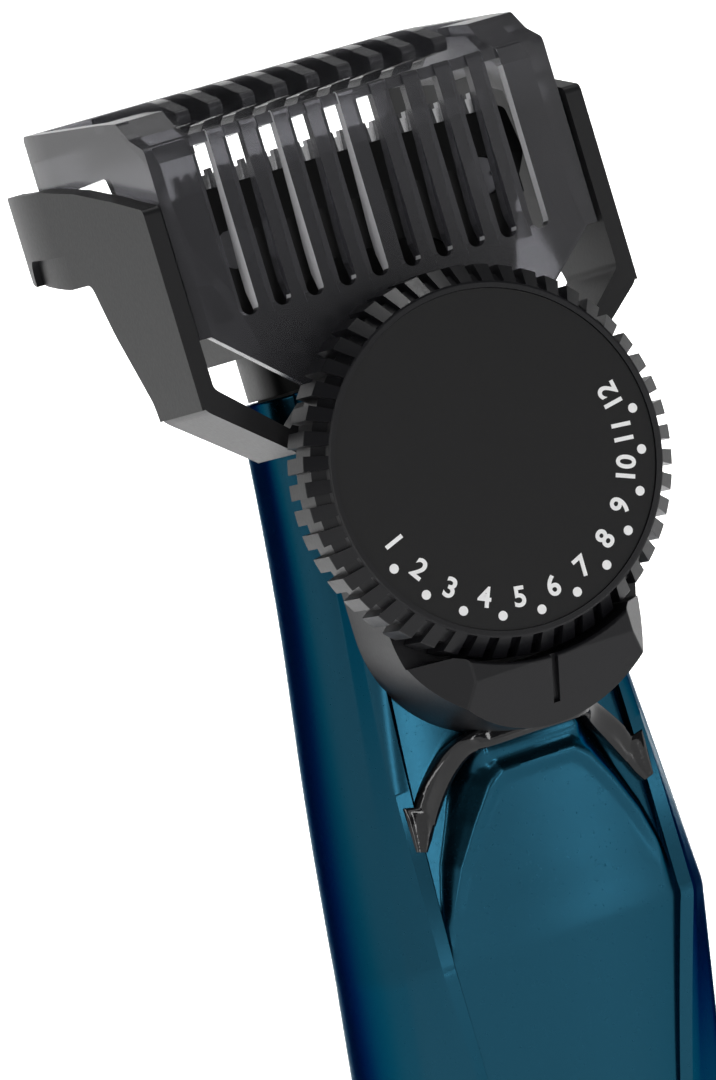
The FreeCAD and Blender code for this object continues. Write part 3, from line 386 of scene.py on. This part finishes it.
def side_curve(section, samples):
    """Points (x, y) from the front corner round the side to the middle of the back."""
    a, b, yc, _ = section
    points = [(a - CORNER_IN, yc - b + CORNER_DROP)]
    for degrees in (-25.0, 0.0, 25.0, 50.0, 70.0):
        angle = math.radians(degrees)
        rise = math.copysign(abs(math.sin(angle)) ** 0.86, angle)
        points.append((a * math.cos(angle) ** 0.72, yc + b * rise))
    points.append((0.0, yc + b))
    points = np.array(points)
    steps = np.linalg.norm(np.diff(points, axis=0), axis=1)
    knots = np.concatenate([[0.0], np.cumsum(steps)])
    lead = (points[1] - points[0]) / steps[0]
    return spline_through(knots, points, np.linspace(0.0, knots[-1], samples), lead, (-1.0, 0.0))


def tub_section(section):
    """Points (x, y) from the right seam round the back to the left seam, with a folded lip."""
    a, b, yc, seam = section
    start = np.array((a - seam, yc - b + SEAM_DROP))
    corner = np.array((a - CORNER_IN, yc - b + CORNER_DROP))
    along = (corner - start) / np.linalg.norm(corner - start)
    side = side_curve(section, 72)
    lip = [start + (0.0, 1.0), start + (0.0, 0.3), start + (0.03, 0.12), start + along * 0.15]
    strip = [start + (corner - start) * share for share in np.linspace(0.12, 0.86, 8)]
    first = strip[-1]
    turn = [(1 - t) ** 2 * first + 2 * t * (1 - t) * corner + t * t * side[1]
            for t in (0.25, 0.5, 0.75)]
    half = np.array(lip + strip + turn + list(side[1:]))
    other = half[::-1][1:] * (-1.0, 1.0)
    return np.concatenate([half, other])


def lofted(section_points):
    """Rows of points (millimetres, row frame) up the whole handle for one kind of section."""
    level = []
    for z, section in GRIP_SECTIONS:
        flat = section_points(section)
        level.append(np.column_stack([flat, np.full(len(flat), z)]))
    tilted = []
    for z, section in HEAD_SECTIONS:
        flat = section_points(section)
        stacked = np.column_stack([flat, np.full(len(flat), z)])
        tilted.append(np.array([(HEAD @ (Vector(p) * MM)) / MM for p in stacked]))
    lower_knots = [z for z, _ in GRIP_SECTIONS] + [HIP_HEIGHT]
    upper_knots = [z for z, _ in HEAD_SECTIONS]
    low_at = np.concatenate([np.linspace(GRIP_SECTIONS[0][0], HIP_HEIGHT - 1.5, 90),
                             [HIP_HEIGHT - 3 * CREASE, HIP_HEIGHT - CREASE]])
    high_at = np.concatenate([[HIP_Z + CREASE, HIP_Z + 3 * CREASE],
                              np.linspace(HIP_Z + 1.2, HEAD_SECTIONS[-1][0], 190)])
    lower = spline_through(lower_knots, level + tilted[:1], low_at)
    upper = spline_through(upper_knots, tilted, high_at)
    return np.concatenate([lower, upper])


def in_head_frame(points):
    """Row-frame points in millimetres, seen in the head's frame."""
    turn = np.array(HEAD.to_3x3())
    return (points - np.array(HEAD.translation) / MM) @ turn


def outline_distance(x, z, outline):
    """Distance inside (positive) an open outline of (x, z) points that bounds the pad."""
    best = np.full(x.shape, 1e9)
    for (x0, z0), (x1, z1) in zip(outline[:-1], outline[1:]):
        dx, dz = x1 - x0, z1 - z0
        share = np.clip(((x - x0) * dx + (z - z0) * dz) / (dx * dx + dz * dz), 0.0, 1.0)
        best = np.minimum(best, np.hypot(x - x0 - share * dx, z - z0 - share * dz))
    edge = np.interp(-z, [-p[1] for p in outline], [p[0] for p in outline])
    inside = (x < edge) & (z < outline[0][1])
    return np.where(inside, best, -best)


PAD_TOP = -26.8
PAD_RISE = 4.7
TUB_WALL = 1.2
COVER_COLUMNS = 181
TOP_SHARE = 0.75                    # of the rise, left standing along the pad's top edge
PAD_OUTLINE = ((0.0, PAD_TOP), (5.4, PAD_TOP), (7.15, -27.4), (8.2, -29.3), (9.5, -33.0),
               (11.1, -37.0), (12.0, -40.6), (12.7, -43.0), (13.6, -48.0))
PAD_PANEL = ((0.0, -29.6), (3.9, -29.7), (5.4, -30.9), (7.6, -34.0), (9.8, -37.8),
             (11.0, -40.8), (12.0, -43.2), (13.2, -48.0))


def pad_relief(x, z, half):
    """How far the thumb rest stands proud of a front cover that is half wide from its middle."""
    side = np.abs(x)
    level = np.minimum(z, PAD_TOP - 0.02)
    outer = outline_distance(side, level, PAD_OUTLINE)
    inner = outline_distance(side, level, PAD_PANEL)
    rise = PAD_RISE * np.clip((z - HIP_Z) / (PAD_TOP - HIP_Z), 0.0, 1.0)
    band = np.clip(outer / np.maximum(outer - inner, 0.05), 0.0, 1.0)
    share = np.where(inner > 0.0, 1.0, smoothstep(0.0, 1.0, band))
    edge = TOP_SHARE * smoothstep(7.4, 4.8, side) * smoothstep(-30.0, -27.4, z)
    share = np.where(outer > 0.0, edge + (1.0 - edge) * share, 0.0)
    fade = smoothstep(HIP_Z + 1.0, HIP_Z + 9.0, z)
    scoop = 0.35 * smoothstep(0.0, 1.3, inner) * fade
    return ((rise * share - scoop) * smoothstep(PAD_TOP + 0.6, PAD_TOP, z)
            * smoothstep(half, half - 1.6, side))


def add_shells():
    """Front cover with its thumb rest, and the rear tub with its bright shoulders."""
    rows = lofted(lambda section: cover_section(section, COVER_COLUMNS))
    seen = in_head_frame(rows)
    half = np.abs(seen[..., 0]).max(axis=1, keepdims=True)
    relief = pad_relief(seen[..., 0], seen[..., 2], half) * (seen[..., 2] > HIP_Z)
    rows = rows - relief[..., None] * np.array(DIAL_AXIS)
    edge = np.array(DIAL_AXIS)
    lips = [rows[:, :1] + edge * 0.9, rows[:, :1] + edge * 0.16]
    rows = np.concatenate([lips[0], lips[1], rows, lips[1] * (-1, 1, 1), lips[0] * (-1, 1, 1)], 1)
    cover = make_piece("front_cover", rows.reshape(-1, 3), grid_faces(*rows.shape[:2]),
                       "body_blue", "housing")
    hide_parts("front_housing")
    rows = lofted(tub_section)
    tub = make_piece("rear_tub", rows.reshape(-1, 3), grid_faces(*rows.shape[:2]),
                     "body_blue", "housing")
    thicken(tub, TUB_WALL)
    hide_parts("rear_housing")


# ---- dial scale -------------------------------------------------------------------------------
STEP_ANGLE = 15.5                   # degrees of dial per setting
REST_SETTING = 5.5
SCALE_FACE_Y = 0.18
NUMBER_RADIUS = 13.45
NUMBER_SIZE = 2.75
DOT_CIRCLE = 15.05
DOT_RADIUS = 0.47


def scale_place(angle, radius, y):
    """Place on the dial's face at an angle from its lowest point, feet of marks outward."""
    turn = math.radians(angle)
    outward = Vector((math.sin(turn), 0.0, -math.cos(turn)))
    along = Vector((math.cos(turn), 0.0, math.sin(turn)))
    middle = outward * radius * MM + Vector((0.0, y * MM, 0.0))
    turned = Matrix((along, -outward, along.cross(-outward))).transposed().to_4x4()
    return HEAD @ Matrix.Translation(middle) @ turned


def add_scale():
    """Numbers 1 to 12, printed on the dial's face."""
    for number in range(1, 13):
        curve = bpy.data.curves.new(f"mark_{number}", "FONT")
        curve.body = str(number)
        curve.align_x = "CENTER"
        curve.align_y = "CENTER"
        curve.size = NUMBER_SIZE * MM
        curve.extrude = 0.03 * MM
        curve.offset = 0.07 * MM
        text = bpy.data.objects.new(f"text_{number}", curve)
        bpy.context.collection.objects.link(text)
        bpy.context.view_layer.update()
        flat = bpy.data.meshes.new_from_object(text)
        bpy.data.objects.remove(text)
        place = scale_place((number - REST_SETTING) * STEP_ANGLE, NUMBER_RADIUS, SCALE_FACE_Y)
        flat.transform(place)
        flat.name = f"scale_{number}"
        flat.materials.clear()
        flat.materials.append(MATERIALS["print_white"])
        mark = bpy.data.objects.new(f"scale_{number}", flat)
        bpy.context.collection.objects.link(mark)
        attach(mark, "dial")


def add_dots():
    """Round dots at the half settings."""
    vertices, faces = [], []
    sides = 24
    for half_step in range(11):
        angle = math.radians((half_step + 1.5 - REST_SETTING) * STEP_ANGLE)
        cx, cz = DOT_CIRCLE * math.sin(angle), -DOT_CIRCLE * math.cos(angle)
        start = len(vertices)
        for y in (SCALE_FACE_Y - 0.03, SCALE_FACE_Y + 0.03):
            for side in range(sides):
                turn = 2 * math.pi * side / sides
                vertices.append((cx + DOT_RADIUS * math.cos(turn), y,
                                 cz + DOT_RADIUS * math.sin(turn)))
        faces.append(tuple(range(start, start + sides)))
        faces.append(tuple(range(start + sides, start + 2 * sides)))
        for side in range(sides):
            after = (side + 1) % sides
            faces.append((start + side, start + after, start + sides + after,
                          start + sides + side))
    make_piece("scale_dots", vertices, faces, "print_white", "dial",
               in_head=True)


# ---- trim -------------------------------------------------------------------------------------
# One leg of the arch, from the middle down: outer edge (x, z), inner edge (x, z) and depth y.
TRIM_LEG = (((0.0, -24.6), (0.0, -26.9), 11.2), ((4.0, -24.7), (4.0, -26.95), 11.3),
            ((6.6, -25.2), (5.9, -27.0), 12.2), ((8.2, -26.1), (6.9, -27.8), 13.9),
            ((9.8, -27.6), (8.1, -29.3), 15.3), ((11.2, -29.3), (9.4, -31.2), 16.2),
            ((12.0, -30.6), (10.5, -33.0), 16.8))
TRIM_BARB = (((13.3, -30.4), (10.6, -33.1), 16.9), ((13.3, -32.6), (11.2, -34.2), 17.1),
             ((13.25, -34.9), (12.0, -35.3), 17.3))


def add_trim():
    """Glossy arch round the top of the thumb rest, with a barbed leg on each side."""
    knots = np.arange(len(TRIM_LEG), dtype=float)
    flat = np.array([(*outer, *inner, y) for outer, inner, y in TRIM_LEG])
    fine = spline_through(knots, flat, np.linspace(0.0, knots[-1], 49), np.zeros(5) + (
        4.0, 0.0, 4.0, 0.0, 0.0))
    leg = np.concatenate([fine, [(*o, *i, y) for o, i, y in TRIM_BARB]])
    mirrored = leg[::-1][:-1] * (-1, 1, -1, 1, 1)
    path = np.concatenate([mirrored, leg])
    rows = []
    for ox, oz, ix, iz, y in path:
        outer, inner = np.array((ox, y, oz)), np.array((ix, y, iz))
        row = [outer + (0, 1.9, 0), outer + (0, 0.25, 0)]
        for share in np.linspace(0.0, 1.0, 9):
            dome = 0.28 * (1 - (2 * share - 1) ** 4)
            row.append(outer + (inner - outer) * (0.04 + 0.92 * share) - (0, dome, 0))
        row += [inner + (0, 0.25, 0), inner + (0, 1.9, 0)]
        rows.append(row)
    rows = np.array(rows)
    faces = grid_faces(rows.shape[0], rows.shape[1], closed=True)
    last = (rows.shape[0] - 1) * rows.shape[1]
    faces.append(tuple(range(rows.shape[1])))
    faces.append(tuple(last + c for c in range(rows.shape[1])))
    trim = make_piece("trim_arch", rows.reshape(-1, 3), faces, "gloss_black", "housing",
                      in_head=True)
    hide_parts("trim_band")


def refine_nodes():
    """Round the edges of the moulded pieces whose CAD shape is right."""
    for node, width in (("comb_yoke", 0.35), ("index_cradle", 0.12), ("dial_knob", 0.1),
                        ("guide_comb", 0.12), ("head_block", 0.15), ("base_cap", 0.2),
                        ("power_button", 0.1)):
        soften_edges(frame["nodes"][node], width)


add_camera()
add_lights()
add_world()
bpy.context.scene.view_settings.view_transform = "Standard"
add_floor()
paint_nodes()
frost_slot_walls()
refine_nodes()
add_shells()
add_scale()
add_dots()
add_trim()
